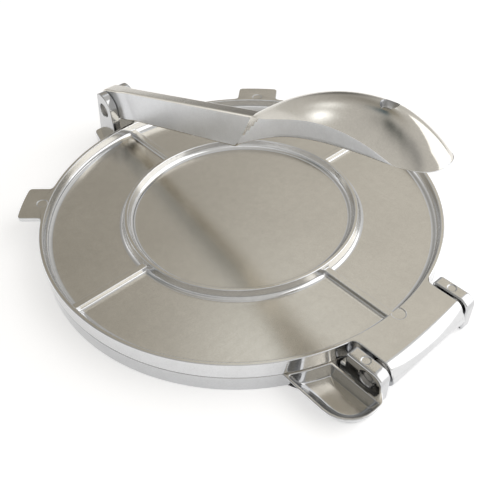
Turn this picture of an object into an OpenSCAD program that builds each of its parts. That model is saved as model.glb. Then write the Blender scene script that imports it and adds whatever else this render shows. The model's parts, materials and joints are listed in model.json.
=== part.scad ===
// Tortilla press of cast and polished aluminium: a base casting, a top plate that opens on a hinge,
// and a long lever with a hollow scoop handle. The origin is on the table, on the axis of the round
// plates. +Z is up, +X points to the hinge and -X to the lever's clevis.

/* [Plates] */
// Diameter of both round plates
plate_d = 200; // [150:5:260]
// Height of the base casting's pressing face above the table
base_h = 8.3; // [7:0.1:12]
// Gap between the two castings when closed
seam_gap = 0.2; // [0.1:0.05:0.5]
// Thickness of the base's pressing plate
base_skin = 3.2; // [2.4:0.1:4]
// Width of the base's outer wall
base_wall = 4; // [3:0.1:6]
// Thickness of the top plate's floor
top_skin = 2.5; // [2:0.1:3.5]
// Height of the top plate from its pressing face to its rim
top_h = 8.5; // [7.5:0.1:12]
// Width of the flat on the rim
rim_w = 1.8; // [1.2:0.1:3]
// How much wider the rim is at its foot
rim_draft = 0.8; // [0.2:0.1:1.5]
// Fillet at the foot of the rim
rim_fillet = 3; // [1:0.1:3.5]
// Rounding of the castings' outer edges
edge_r = 0.4; // [0.2:0.1:0.8]

/* [Ring and ribs] */
// Outer diameter of the ring, at its top
ring_d = 117.8; // [90:0.2:125]
// Width of the flat on the ring
ring_w = 1.7; // [1:0.1:3]
// Height of the ring above the floor
ring_h = 4.5; // [3:0.1:5.5]
// How much wider the ring is at its foot, on each side
ring_draft = 1.1; // [0.3:0.1:2]
// Fillet on each side of the ring's foot
ring_fillet = 2; // [1:0.1:2.5]
// Number of radial ribs between ring and rim
rib_count = 4; // [3:1:8]
// Width of a radial rib
rib_w = 3.4; // [2.5:0.1:5]
// Height of a radial rib above the floor
rib_h = 2.5; // [1.5:0.1:3.5]
// Clearance of the base's inner ring and ribs above the table
under_gap = 1.2; // [0.5:0.1:2]

/* [Lifting tabs] */
// Angle of each tab from the clevis side
tab_angle = 46.8; // [35:0.2:70]
// How far a tab stands out past the rim
tab_reach = 12; // [8:0.5:16]
// Thickness of a tab
tab_t = 2.5; // [2:0.1:4]
// Width of a tab at its outer edge
tab_w = 23.5; // [16:0.5:30]
// Extra width of a tab at its root, over both sides
tab_flare = 5; // [2:0.5:8]
// Corner radius of a tab
tab_r = 2; // [1:0.2:4]
// Diameter of the round moulding marks
mark_d = 6; // [4:0.2:8]
// Depth of the round moulding marks
mark_deep = 0.25; // [0.1:0.05:0.5]

/* [Plate hinge] */
// Distance of the hinge axis from the plate's rim
hinge_out = 10.4; // [10:0.1:14]
// Height of the hinge axis above the table
hinge_z = 10.9; // [10:0.1:12]
// Diameter of both pins
pin_d = 7.9; // [6:0.1:9]
// Clearance round a pin where it is pressed in
pin_seat = 0.02; // [0.01:0.01:0.05]
// Clearance round a pin where a part turns on it
pin_run = 0.08; // [0.05:0.01:0.1]
// How far the hinge pin's ends lie inside the ears
hinge_pin_in = 2.4; // [1:0.1:3]
// Width of the top plate's tongue
tongue_w = 47.4; // [40:0.2:60]
// Gap between tongue and ear, each side
tongue_gap = 1.4; // [0.5:0.1:2]
// How far the tongue's rounded end stands out past the rim
tongue_out = 19.2; // [19:0.1:24]
// Radius of the tongue's barrel round the hinge pin
barrel_r = 8.6; // [7.5:0.1:9]
// Radius along the tongue's upper end
tongue_r = 6; // [2:0.5:8]
// Thickness of a hinge ear
ear_t = 6; // [5:0.1:8]
// Distance from the plate's rim to the ear's outer face
ear_out = 17.6; // [17:0.1:20]
// Radius of the ear's upper outer corner
ear_r = 4.7; // [2:0.1:6]
// Fillet where rim and tongue meet, seen from above
neck_r = 3.2; // [2:0.1:3.6]

/* [Hollow lobe] */
// Distance of the lobe's centre from the plate's rim
lobe_out = 7; // [4:0.1:8]
// Radius of the lobe's round end
lobe_r = 14.2; // [10:0.1:15]
// Gap between the hinge ear and the lobe's inner wall
lobe_gap = 2.8; // [2:0.1:4]
// Distance from the lobe's inner wall to its centre, sideways
lobe_side = 4.4; // [1:0.1:5]
// Thickness of the lobe's walls
lobe_wall = 1.6; // [1.2:0.1:2.5]
// Height of the lobe's pocket floor above the table
lobe_floor = 1.5; // [1:0.1:2.5]
// How far the lobe's outer wall leans out from foot to lip
lobe_lean = 5.5; // [1:0.5:7]

/* [Clevis] */
// Distance of the lever's axis from the plate's rim
clevis_out = 10.9; // [10.5:0.1:16]
// Height of the lever's axis above the table
lever_z = 25.1; // [22:0.1:32]
// Gap between the clevis ears
clevis_gap = 8.6; // [7:0.1:12]
// Thickness of a clevis ear
clevis_t = 5.1; // [4:0.1:7]
// Radius round the top of a clevis ear
clevis_r = 8.4; // [7.5:0.1:9]
// Distance from the lever's axis to the ear's side that faces the plate
clevis_in = 7.6; // [7:0.1:8]
// Distance from the lever's axis to the foot of the ear's outer side
clevis_foot = 9.4; // [8:0.1:9.8]
// Distance of the lug's end from the plate's rim
lug_out = 21.2; // [20.5:0.1:26]
// Width of the lug at its outer end
lug_w = 26; // [20:0.5:34]
// Width of the lug where it leaves the rim
lug_root_w = 40; // [34:0.5:50]
// How far the lever pin's ends lie inside the ears
lever_pin_in = 1.9; // [0.5:0.1:2.5]

/* [Lever] */
// Angle of the lever above the table as it is held up
lever_lift = 17; // [14:0.5:30]
// Width of the bar
bar_w = 6; // [4:0.1:6.8]
// Distance from the pivot down to the bar's lower edge
bar_down = 6.6; // [6:0.1:7]
// Distance from the pivot up to the bar's upper edge
bar_up = 10.9; // [9.5:0.1:11.5]
// Gap between the lever's hub and a clevis ear
hub_gap = 0.15; // [0.1:0.05:0.4]
// Length of the hub's full width past the pivot
hub_len = 12; // [8:0.5:16]
// Length over which the hub narrows to the bar
hub_taper = 10; // [6:0.5:20]
// How far past the plate's centre the foot lies when pressed down
foot_past = 4.4; // [0:0.1:8]
// Length over which the bar's lower edge steps up behind the foot
foot_back = 3; // [2:0.1:4]
// Height by which the bar's lower edge steps up behind the foot
foot_step = 1.6; // [1:0.1:2]

/* [Scoop handle] */
// Distance from the foot to the scoop's start, at mid height of the bar
scoop_past = 9.7; // [9:0.1:11]
// Length of the scoop from the bar's end to its tip
scoop_len = 104; // [80:1:125]
// Slant of the scoop's start, top edge ahead of lower edge
scoop_slant = 1; // [0.2:0.05:1.1]
// Width of the scoop
scoop_w = 19; // [15:0.5:28]
// Height of the arch of the scoop's lower edge
scoop_arch = 7; // [4:0.5:9]
// Height of the scoop's tip above the lever's axis line
scoop_tip = 3.7; // [2:0.1:5]
// Height of the scoop's crown above the bar's upper edge
scoop_rise = 19; // [15:0.5:24]
// Wall thickness of the scoop
scoop_t = 2.4; // [1.8:0.1:2.6]
// Diameter of the hanging hole in the scoop's crown
hang_d = 6.5; // [4:0.5:8]
// Distance of the hanging hole from the scoop's tip
hang_in = 21; // [18:0.5:32]

/* [Hidden] */
$fn = 96;
plate_r = plate_d / 2;
ring_r = ring_d / 2;
// Underside, floor and rim of the top plate
plate_z = base_h + seam_gap;
floor_z = plate_z + top_skin;
rim_z = plate_z + top_h;
rim_foot_r = plate_r - rim_w - rim_draft;
rib_fillet = 0.8;
under_w = 3;
run_d = pin_d + 2 * pin_run;
seat_d = pin_d + 2 * pin_seat;
pin_bevel = 0.5;
// The hinge: its axis, the tongue's end and the two faces of each ear
hinge_x = plate_r + hinge_out;
tongue_end = plate_r + tongue_out;
ear_y = tongue_w / 2 + tongue_gap;
ear_side = ear_y + ear_t;
ear_back = sqrt(plate_r * plate_r - ear_y * ear_y) + 2.2;
// The lobe: the outside of its inner wall and the centre of its round end
lobe_y = ear_side + lobe_gap;
lobe_x = plate_r + lobe_out;
// The clevis and the lever's length from pivot to foot
lever_x = -plate_r - clevis_out;
clevis_side = clevis_gap / 2 + clevis_t;
clevis_rise = 1.5;
clevis_turn = 118;
foot_u = plate_r + clevis_out + foot_past;
hub_w = clevis_gap - 2 * hub_gap;
bar_mid = (bar_up - bar_down) / 2;
// The scoop: where it starts, where its nose begins to round, and the shares of its width and rise
// that its walls, shoulders and crown are drawn through from start to tip
scoop_u = foot_u + scoop_past;
scoop_nose = 0.8;
scoop_half = [bar_w / 2 + 0.1, for (k = [0.79, 1, 1, 1.21]) k * scoop_w / 2];
scoop_low = [foot_step - bar_down, for (k = [1, 1.5, 1.36, 1.07]) k * scoop_arch, scoop_tip];
scoop_shoulder = [for (k = [-0.02, 0.06, 0.56, 0.45, -0.73]) bar_up + k * scoop_rise];
scoop_crown = [for (k = [0.03, 0.6, 0.62, 1, 0.88, 0.25]) bar_up + k * scoop_rise];
// How far one casting's detail is sunk into the casting it grows from
root = 4;

// Points of an arc from angle a0 to angle a1
function arc(cx, cy, r, a0, a1, n = 5) =
    [for (i = [0:n]) let (a = a0 + (a1 - a0) * i / n) [cx + r * cos(a), cy + r * sin(a)]];

// A flat shape drawn in X and Z, given a thickness along Y
module along_y(y0, y1) {
    translate([0, y1, 0]) rotate([90, 0, 0]) linear_extrude(y1 - y0) children();
}

// A flat shape drawn in X and Y, given a height along Z
module upright(z0, z1) {
    translate([0, 0, z0]) linear_extrude(z1 - z0) children();
}

// A pin or the bore for one, lying along Y
module rod(x, z, d, y0, y1) {
    translate([x, y1, z]) rotate([90, 0, 0]) cylinder(h = y1 - y0, d = d);
}

// A pin with its two end edges bevelled
module pin(x, z, half) {
    rod(x, z, pin_d, -half + pin_bevel, half - pin_bevel);
    for (side = [0, 1]) mirror([0, side, 0])
        translate([x, half, z]) rotate([90, 0, 0])
            cylinder(h = pin_bevel, d1 = pin_d - 2 * pin_bevel, d2 = pin_d);
}

// A round moulding mark sunk into a face at height z
module mark(x, y, z, d = mark_d) {
    translate([x, y, z - mark_deep]) cylinder(h = 2 * mark_deep, d = d);
}

// Half section of the top plate: flat floor, raised ring and rim, with filleted feet
module top_section() {
    in_r = ring_r - ring_w - ring_draft - ring_fillet;
    out_r = ring_r + ring_draft + ring_fillet;
    polygon(concat(
        [[0, plate_z]],
        arc(plate_r - edge_r, plate_z + edge_r, edge_r, -90, 0, 3),
        arc(plate_r - edge_r, rim_z - edge_r, edge_r, 0, 90, 3),
        [[plate_r - rim_w, rim_z]],
        arc(rim_foot_r - rim_fillet, floor_z + rim_fillet, rim_fillet, 0, -90),
        arc(out_r, floor_z + ring_fillet, ring_fillet, 270, 180),
        [[ring_r, floor_z + ring_h], [ring_r - ring_w, floor_z + ring_h]],
        arc(in_r, floor_z + ring_fillet, ring_fillet, 0, -90),
        [[0, floor_z]]));
}

// A radial rib with filleted feet, from the ring to the rim
module top_rib() {
    top = rib_w / 2;
    foot = top + rib_fillet;
    translate([ring_r - ring_w / 2, 0, floor_z]) rotate([90, 0, 90])
        linear_extrude(plate_r - rim_w / 2 - ring_r + ring_w / 2)
            polygon(concat([[-foot, -top_skin / 2]], arc(-foot, rib_fillet, rib_fillet, 270, 360, 3),
                [[-top, rib_h], [top, rib_h]],
                arc(foot, rib_fillet, rib_fillet, 180, 270, 3), [[foot, -top_skin / 2]]));
}

// A lifting tab along +X: round outer edge, round corners and a curved flare at its root
module tab() {
    end_r = plate_r + tab_reach;
    corner_y = tab_w / 2 - tab_r;
    corner_x = sqrt(end_r * end_r - corner_y * corner_y) - tab_r;
    bow = asin(corner_y / end_r);
    flare = tab_flare / 2;
    flare_y = tab_w / 2 + flare;
    flare_x = sqrt(plate_r * plate_r - flare_y * flare_y) + flare;
    difference() {
        upright(rim_z - tab_t, rim_z) polygon(concat(
            [[flare_x - flare - 1, -flare_y]],
            arc(flare_x, -flare_y, flare, 180, 90),
            arc(corner_x, -corner_y, tab_r, -90, -bow),
            arc(0, 0, end_r, -bow, bow, 8),
            arc(corner_x, corner_y, tab_r, bow, 90),
            arc(flare_x, flare_y, flare, -90, -180),
            [[flare_x - flare - 1, flare_y]]));
        cylinder(h = 2 * rim_z, r = plate_r - rim_w / 2);
    }
}

// The hinge tongue: level with the rim, its end round the plate's axis, its underside a barrel
module tongue() {
    neck_y = tongue_w / 2 + neck_r;
    neck_x = sqrt(pow(plate_r + neck_r, 2) - neck_y * neck_y);
    difference() {
        union() {
            intersection() {
                along_y(-tongue_w / 2, tongue_w / 2) {
                    translate([plate_r - 2 * root, plate_z]) square([hinge_out + 2 * root, top_h]);
                    translate([hinge_x, hinge_z]) square([tongue_out, rim_z - hinge_z]);
                    translate([hinge_x, hinge_z]) circle(barrel_r);
                }
                rotate_extrude() polygon(concat([[plate_r - 3 * root, 0], [tongue_end, 0]],
                    arc(tongue_end - tongue_r, rim_z - tongue_r, tongue_r, 0, 90, 6),
                    [[plate_r - 3 * root, rim_z]]));
            }
            for (side = [0, 1]) mirror([0, side, 0]) upright(plate_z, rim_z)
                polygon(concat([[neck_x - 2 * root, tongue_w / 2 - 1], [neck_x, tongue_w / 2 - 1]],
                    arc(neck_x, neck_y, neck_r, 270, 180 + atan2(neck_y, neck_x)),
                    [[neck_x - 2 * root, neck_y * plate_r / (plate_r + neck_r)]]));
        }
        cylinder(h = 2 * rim_z, r = plate_r - rim_w / 2);
        rod(hinge_x, hinge_z, run_d, -tongue_w, tongue_w);
    }
}

module top_plate() color("gainsboro") difference() {
    union() {
        rotate_extrude() top_section();
        for (i = [0:rib_count - 1]) rotate(i * 360 / rib_count) top_rib();
        for (side = [-1, 1]) rotate(180 + side * tab_angle) tab();
        tongue();
    }
    for (side = [-1, 1]) rotate(180 + side * tab_angle)
        mark(plate_r + 0.14 * tab_reach, 0, rim_z);
    mark(plate_r, 0, rim_z, mark_d + 1);
}

// The base's plate: solid outer wall, hollow underneath, with a ring and ribs that stay off the table
module base_disc() {
    deep = base_h - base_skin;
    difference() {
        rotate_extrude() polygon(concat([[0, 0]], arc(plate_r - edge_r, edge_r, edge_r, -90, 0, 3),
            arc(plate_r - edge_r, base_h - edge_r, edge_r, 0, 90, 3), [[0, base_h]]));
        difference() {
            translate([0, 0, -1]) cylinder(h = deep + 1, r = plate_r - base_wall);
            translate([0, 0, under_gap]) difference() {
                cylinder(h = base_h, r = ring_r + under_w / 2);
                translate([0, 0, -1]) cylinder(h = base_h + 2, r = ring_r - under_w / 2);
            }
            for (i = [0:rib_count - 1]) rotate(i * 360 / rib_count)
                translate([ring_r, -under_w / 2, under_gap]) cube([plate_r - ring_r, under_w, base_h]);
        }
    }
}

// One hinge ear on the +Y side, upright and level with the rim
module ear() {
    ear_x = plate_r + ear_out;
    back_x = plate_r - 2 * root;
    difference() {
        along_y(ear_y, ear_side) polygon(concat([[back_x, 0], [ear_x - edge_r, 0]],
            arc(ear_x - edge_r, edge_r, edge_r, -90, 0, 3),
            arc(ear_x - ear_r, rim_z - ear_r, ear_r, 0, 90, 6),
            arc(ear_back + edge_r, rim_z - edge_r, edge_r, 90, 180, 3),
            [[ear_back, base_h], [back_x, base_h]]));
        difference() {
            translate([0, 0, -1]) cylinder(h = base_h - base_skin + 1, r = plate_r - base_wall);
            translate([plate_r - base_wall, 0, 0]) cube([2 * root, 2 * ear_side, base_h]);
        }
        rod(hinge_x, hinge_z, seat_d, 0, 2 * ear_side);
        mark((ear_back + ear_x - ear_r) / 2 + 1, (ear_y + ear_side) / 2, rim_z, min(mark_d, ear_t) - 1.2);
    }
}

// Outline of the lobe seen from above, drawn in by inset all round and by lean at its outer side
module lobe_outline(inset, lean) {
    r = lobe_r - inset - lean;
    top_y = -lobe_y - inset;
    centre_y = -lobe_y - lobe_side;
    polygon(concat([[plate_r * 0.8, top_y], [plate_r * 0.8, centre_y - r]],
        arc(lobe_x, centre_y, r, -90, 0, 10), [[lobe_x + r, top_y]]));
}

// The hollow lobe beside the near ear: a dish with a leaning outer wall and an upright inner one
module lobe() {
    slab = 0.4;
    difference() {
        hull() {
            upright(base_h - slab, base_h) lobe_outline(0, 0);
            upright(0, slab) lobe_outline(0, lobe_lean);
        }
        hull() {
            upright(base_h, base_h + slab) lobe_outline(lobe_wall, 0);
            upright(lobe_floor, lobe_floor + slab) lobe_outline(lobe_wall, lobe_lean);
        }
        translate([0, 0, -1]) cylinder(h = 2 * base_h, r = plate_r - base_wall / 2);
    }
    difference() {
        upright(0, lobe_floor) polygon([[plate_r * 0.8, -lobe_y - 1], [lobe_x, -lobe_y - 1],
            [lobe_x, -ear_side + 1], [plate_r * 0.8, -ear_side + 1]]);
        translate([0, 0, -1]) cylinder(h = 2 * base_h, r = plate_r - base_wall / 2);
    }
}

// The lug under the clevis, level with the base
module lug() {
    end_x = plate_r + lug_out;
    corner = 3;
    mirror([1, 0, 0]) difference() {
        upright(0, base_h) polygon(concat([[plate_r - 2 * root, -lug_root_w / 2]],
            arc(end_x - corner, -lug_w / 2 + corner, corner, -70, 0),
            arc(end_x - corner, lug_w / 2 - corner, corner, 0, 70),
            [[plate_r - 2 * root, lug_root_w / 2]]));
        translate([0, 0, -1]) cylinder(h = base_h - base_skin + 1, r = plate_r - base_wall);
    }
}

// One clevis ear on the +Y side: upright towards the plate, rounded over the top, sloped outside
module clevis_ear() {
    in_x = lever_x + clevis_in;
    difference() {
        along_y(clevis_gap / 2, clevis_side) polygon(concat([[in_x, base_h - root]],
            arc(in_x - clevis_r, lever_z + clevis_rise, clevis_r, 0, clevis_turn, 12),
            [[lever_x - clevis_foot, base_h], [lever_x - clevis_foot, base_h - root]]));
        rod(lever_x, lever_z, seat_d, 0, 2 * clevis_side);
    }
}

module base_plate() color("silver") {
    base_disc();
    for (side = [0, 1]) mirror([0, side, 0]) {
        ear();
        clevis_ear();
    }
    lobe();
    lug();
}

module hinge_pin() color("dimgray") pin(hinge_x, hinge_z, ear_side - hinge_pin_in);

module lever_pin() color("dimgray") pin(lever_x, lever_z, clevis_side - lever_pin_in);

// Height at share s of a smooth curve drawn through the control heights h
function curve(h, s) = len(h) == 1 ? h[0]
    : curve([for (i = [0:len(h) - 2]) h[i] * (1 - s) + h[i + 1] * s], s);

// Rounding of the scoop's nose: 1 along the scoop, falling round to 0 at the tip
function nose(s, n) = pow(1 - pow(max(0, (s - scoop_nose) / (1 - scoop_nose)), n), 1 / n);

// The scoop's cross section at share s of its length, its walls drawn in by t: half width, lower
// edge, shoulder where side and crown meet, and crown
function half_w(s, t) = (curve(scoop_half, s) - t) * nose(s, 3.5);
function low(s) = curve(scoop_low, s);
function shoulder(s, t) = low(s) + (curve(scoop_shoulder, s) - low(s) - t / 2) * nose(s, 2);
function crown(s, t) = low(s) + (curve(scoop_crown, s) - low(s) - t) * nose(s, 2);

// One cross section as points: lower edge, over the crown, lower edge; cut is how far it runs down
function scoop_ring(s, t, cut, n) = let (
        hw = half_w(s, t), sh = shoulder(s, t), top = crown(s, t),
        flat = concat([[-hw, low(s) - cut]],
            [for (j = [0:n]) let (y = -cos(180 * j / n))
                [hw * y, sh + (top - sh) * pow(max(0, 1 - pow(abs(y), 2.2)), 1 / 2.3)]],
            [[hw, low(s) - cut]]))
    [for (p = flat) [scoop_u + s * (scoop_len - t) + scoop_slant * pow(1 - s, 3) * (p[1] - bar_mid),
        p[0], p[1]]];

// The scoop's solid form from share s0 of its length to the tip
module scoop_form(s0, t, cut) {
    n = 12;
    count = 22;
    rows = [for (i = [0:count]) 1 - (1 - s0) * pow(1 - i / count, 1.7)];
    ring_of = n + 3;
    points = [for (s = rows) for (p = scoop_ring(min(s, 0.999), t, cut, n)) p];
    sides = [for (i = [0:count - 1]) for (j = [0:ring_of - 1])
        let (a = i * ring_of + j, b = i * ring_of + (j + 1) % ring_of) each
        [[a, b, a + ring_of], [b, b + ring_of, a + ring_of]]];
    first = [for (j = [ring_of - 1:-1:0]) j];
    last = [for (j = [0:ring_of - 1]) count * ring_of + j];
    polyhedron(points, concat(sides, [first, last]));
}

// The bar with its round hub, seen from the side, up to where the scoop takes over
module bar_side() {
    start = scoop_u - scoop_slant * bar_mid;
    translate([0, bar_mid]) circle(bar_mid + bar_down);
    polygon([[0, -bar_down], [foot_u, -bar_down], [foot_u + foot_back, foot_step - bar_down],
        [start + foot_back / 2 + scoop_slant * bar_up, bar_up], [0, bar_up]]);
}

// The bar seen from above: full hub between the clevis ears, then narrowing to the bar
module bar_plan() {
    polygon([[-bar_up, -hub_w / 2], [hub_len, -hub_w / 2], [hub_len + hub_taper, -bar_w / 2],
        [scoop_u + scoop_len, -bar_w / 2], [scoop_u + scoop_len, bar_w / 2],
        [hub_len + hub_taper, bar_w / 2], [hub_len, hub_w / 2], [-bar_up, hub_w / 2]]);
}

module lever() color("lightsteelblue") {
    translate([lever_x, 0, lever_z]) rotate([0, -lever_lift, 0]) difference() {
        union() {
            intersection() {
                along_y(-hub_w, hub_w) bar_side();
                upright(-2 * bar_up, 2 * bar_up) bar_plan();
            }
            difference() {
                scoop_form(0, 0, 0);
                scoop_form(0.13, scoop_t, bar_up);
            }
        }
        rod(0, 0, run_d, -hub_w, hub_w);
        translate([scoop_u + scoop_len - hang_in, 0, 0]) cylinder(h = 4 * bar_up, d = hang_d);
    }
}

base_plate();
top_plate();
lever();
hinge_pin();
lever_pin();
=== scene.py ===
"""The looks of a cast aluminium tortilla press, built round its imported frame.

The press lies with the axis of its round plates on the Z axis, its table at Z = 0, its hinge at +X and
its lever's clevis at -X. Sizes here are in millimetres, unless a property's unit says otherwise.
"""
import json
from math import asin, atan2, cos, pi, radians, sin, sqrt, tan

import bmesh
import bpy
import numpy as np
from mathutils import Matrix, Vector


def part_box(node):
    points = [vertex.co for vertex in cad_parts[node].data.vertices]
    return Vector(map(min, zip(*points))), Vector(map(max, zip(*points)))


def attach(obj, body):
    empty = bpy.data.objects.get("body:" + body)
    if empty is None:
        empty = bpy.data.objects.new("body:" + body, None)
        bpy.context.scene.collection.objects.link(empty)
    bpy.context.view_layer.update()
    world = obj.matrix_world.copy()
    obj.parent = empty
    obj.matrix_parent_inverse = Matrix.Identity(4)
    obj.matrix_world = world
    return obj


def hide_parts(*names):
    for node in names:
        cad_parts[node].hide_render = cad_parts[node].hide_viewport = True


bl_info = {
    "name": "Tortilla press",
    "version": (1, 0, 0),
    "blender": (4, 5, 0),
    "location": "3D View > Sidebar > Press",
    "description": "Builds a cast aluminium tortilla press around its frame",
    "category": "Add Mesh",
}

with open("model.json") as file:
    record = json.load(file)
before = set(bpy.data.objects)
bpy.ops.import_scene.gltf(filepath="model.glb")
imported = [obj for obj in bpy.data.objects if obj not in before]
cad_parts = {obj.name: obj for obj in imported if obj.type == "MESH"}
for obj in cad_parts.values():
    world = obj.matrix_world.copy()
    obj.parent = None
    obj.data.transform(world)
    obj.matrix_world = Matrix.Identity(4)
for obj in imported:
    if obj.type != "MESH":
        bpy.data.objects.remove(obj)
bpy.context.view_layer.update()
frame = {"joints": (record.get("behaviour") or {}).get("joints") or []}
MM = 0.001

# Sizes that the castings share, read from the frame where it has them
JOINTS = {joint["name"]: joint for joint in frame["joints"]}
HINGE_X, HINGE_Z = (JOINTS["plate_hinge"]["pos_m"][i] / MM for i in (0, 2))
LEVER_X, LEVER_Z = (JOINTS["lever_pivot"]["pos_m"][i] / MM for i in (0, 2))
PLATE_R = -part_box("top_plate")[0].y / MM
RIM_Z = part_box("top_plate")[1].z / MM
TONGUE_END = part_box("top_plate")[1].x / MM
BASE_TOP = 8.3
PLATE_Z = 8.5
FLOOR_Z = 11.0
PIN_R = 3.95
PRESS_FIT_GAP = 0.03
RUNNING_GAP = 0.08
RUNNING_BEVEL = 0.3
ALONG_X, ALONG_Y, ALONG_Z = np.eye(3)


# Outlines and sections

def rounded(corners, steps=5, closed=False):
    """Path through corners (a, b, radius): each corner becomes an arc tangent to both of its sides,
    with its centre on the bisector and its ends radius / tan(half the corner) away from the corner."""
    points = np.array([c[:2] for c in corners], float)
    radii = [c[2] if len(c) > 2 else 0 for c in corners]
    path = []
    count = len(points)
    for i in range(count):
        if radii[i] == 0 or (not closed and i in (0, count - 1)):
            path.append(points[i][None])
            continue
        before, here, after = points[i - 1], points[i], points[(i + 1) % count]
        inward = (before - here) / np.linalg.norm(before - here)
        onward = (after - here) / np.linalg.norm(after - here)
        half = np.arccos(np.clip(inward @ onward, -1, 1)) / 2
        bisector = (inward + onward) / np.linalg.norm(inward + onward)
        centre = here + bisector * radii[i] / sin(half)
        start = here + inward * radii[i] / tan(half) - centre
        end = here + onward * radii[i] / tan(half) - centre
        turn = atan2(start[0] * end[1] - start[1] * end[0], start @ end)
        angles = np.linspace(0, turn, steps + 1)[:, None]
        side = np.array([-start[1], start[0]])
        path.append(centre + start * np.cos(angles) + side * np.sin(angles))
    path = np.concatenate(path)
    if closed:
        path = np.concatenate([path, path[:1]])
    return path


def refined(path, spacing):
    """The same path with extra points along its straight stretches, no further apart than spacing."""
    lengths = np.linalg.norm(np.diff(path, axis=0), axis=1)
    shares = [np.arange(k) / k for k in np.maximum(1, np.ceil(lengths / spacing).astype(int))]
    at = np.concatenate([i + share for i, share in enumerate(shares)] + [[len(path) - 1]])
    return np.stack([np.interp(at, np.arange(len(path)), path[:, k]) for k in (0, 1)], axis=1)


def matched(corners, steps=7, between=8):
    """A closed outline in which every corner (a, b, radius) gives as many points, and so does every
    side, so that outlines with like corners join up point by point."""
    arcs = rounded(corners, steps, closed=True)
    share = (np.arange(between) / between)[:, None]
    pieces = []
    for k in range(len(corners)):
        arc = arcs[k * (steps + 1):(k + 1) * (steps + 1)]
        onward = arcs[((k + 1) % len(corners)) * (steps + 1)]
        pieces += [arc[:-1], arc[-1] + (onward - arc[-1]) * share]
    pieces.append(arcs[:1])
    return np.concatenate(pieces)


def smooth_max(a, b, width):
    """The larger of a and b, with a rounded passage of the given width where they cross."""
    near = np.maximum(width - np.abs(a - b), 0) / width
    return np.maximum(a, b) + near * near * width / 4


def inset(outline, distance):
    """A closed plan outline (counter-clockwise, last point = first) moved inwards by distance."""
    ahead = np.roll(outline[:-1], -1, axis=0) - np.roll(outline[:-1], 1, axis=0)
    ahead /= np.maximum(np.linalg.norm(ahead, axis=1), 1e-9)[:, None]
    moved = outline[:-1] + distance * np.stack([-ahead[:, 1], ahead[:, 0]], axis=1)
    return np.concatenate([moved, moved[:1]])


def on_circle(radius, y):
    """The point at this Y on a circle about the plate's axis, on the hinge side."""
    return sqrt(radius * radius - y * y), y


# Surfaces: each is a grid of points (rows, columns, xyz) that closes up at its poles and seams

def turned(profile, centre, axis=ALONG_Z, columns=64):
    """A profile (r, height) turned about an axis through centre: every row is a circle."""
    first = np.cross(axis, ALONG_X if abs(axis[0]) < 0.9 else ALONG_Z)
    first = first / np.linalg.norm(first)
    second = np.cross(axis, first)
    angle = np.linspace(0, 2 * pi, columns + 1)[None, :, None]
    r, height = profile[:, :1, None], profile[:, 1:, None]
    return np.array(centre) + r * (np.cos(angle) * first + np.sin(angle) * second) + height * axis


def slab(outline, low, high, edge, heart, between=2):
    """A flat piece over a closed outline, from low to high, with rounded edges. Rows run from the high
    face's middle over its edge, down the side and under to the low face's middle."""
    turn = np.linspace(0, pi / 2, 5)
    across = np.linspace(high - edge, low + edge, between + 1)[1:-1]
    levels = [(edge * (1 - sin(a)), high - edge * (1 - cos(a))) for a in turn]
    levels += [(0, z) for z in across]
    levels += [(edge * (1 - cos(a)), low + edge * (1 - sin(a))) for a in turn]
    rim = inset(outline, edge)
    heart = np.array(heart)[None]
    rows = [np.c_[heart + (rim - heart) * share, np.full(len(rim), high)] for share in (0, 0.5)]
    rows += [np.c_[inset(outline, depth), np.full(len(rim), z)] for depth, z in levels]
    rows += [np.c_[heart + (rim - heart) * share, np.full(len(rim), low)] for share in (0.5, 0)]
    return np.stack(rows)


def upright(grid, side=1):
    """A flat piece stood up: its plan lies in X and Z, its thickness along Y."""
    return grid[..., [0, 2, 1]] * (1, side, 1)


def ribbed_disc(section, ribs, floor_z, inner_r, spread, up):
    """A turned disc with four radial ribs on one face. Rows follow the section (r, z). Columns follow
    the ribs' sides at the angles asin(distance / r) from each rib's middle, with spread more columns
    between two ribs. The ribbed face looks up where up is 1 and down where up is -1. There a point
    stands at its section's height or at floor_z plus the rib's own height, whichever is further out,
    with a rounded passage between the two."""
    path, ribbed = section
    sides = np.concatenate([-ribs[::-1, 0], ribs[1:, 0]])
    heights = np.concatenate([ribs[::-1, 1], ribs[1:, 1]])
    r = np.maximum(path[:, :1], 1e-6)
    lean = np.arcsin(np.clip(sides[None] / np.maximum(r, inner_r), -1, 1))
    gap_share = np.linspace(0, 1, spread + 2)[1:-1][None]
    between = lean[:, -1:] + (pi / 2 - 2 * lean[:, -1:]) * gap_share
    angles = np.concatenate([np.concatenate([lean, between], axis=1) + k * pi / 2 for k in range(4)]
                            + [lean[:, :1] + 2 * pi], axis=1)
    one = np.concatenate([heights, np.zeros(spread)])
    rib_height = np.concatenate([np.tile(one, 4), heights[:1]])[None]
    z = np.repeat(path[:, 1:], angles.shape[1], axis=1)
    passage = 0.8
    raised = up * smooth_max(up * z, up * floor_z + rib_height, passage)
    held = (ribbed * (path[:, 0] > inner_r))[:, None] * (rib_height > 0)
    z = np.where(held, raised, z)
    return np.stack([r * np.cos(angles), r * np.sin(angles), z], axis=-1)


# Pieces

SHARP = radians(38)
# In metres: points this near are one point, and shorter sides are dropped
WELD = 1e-6
SLIVER = 1e-7
# Cosines between a face's normal and an upward direction
LEVEL = 0.9995
ALONG_SIDES = 0.15


def check_closed(mesh):
    """Stops the build if an edge of the mesh hasn't exactly two faces."""
    uses = np.empty(len(mesh.loops), np.int32)
    mesh.loops.foreach_get("edge_index", uses)
    faulty = int(np.count_nonzero(np.bincount(uses, minlength=len(mesh.edges)) != 2))
    if faulty:
        raise RuntimeError(f"{mesh.name} has {faulty} edges without two faces")


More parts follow.
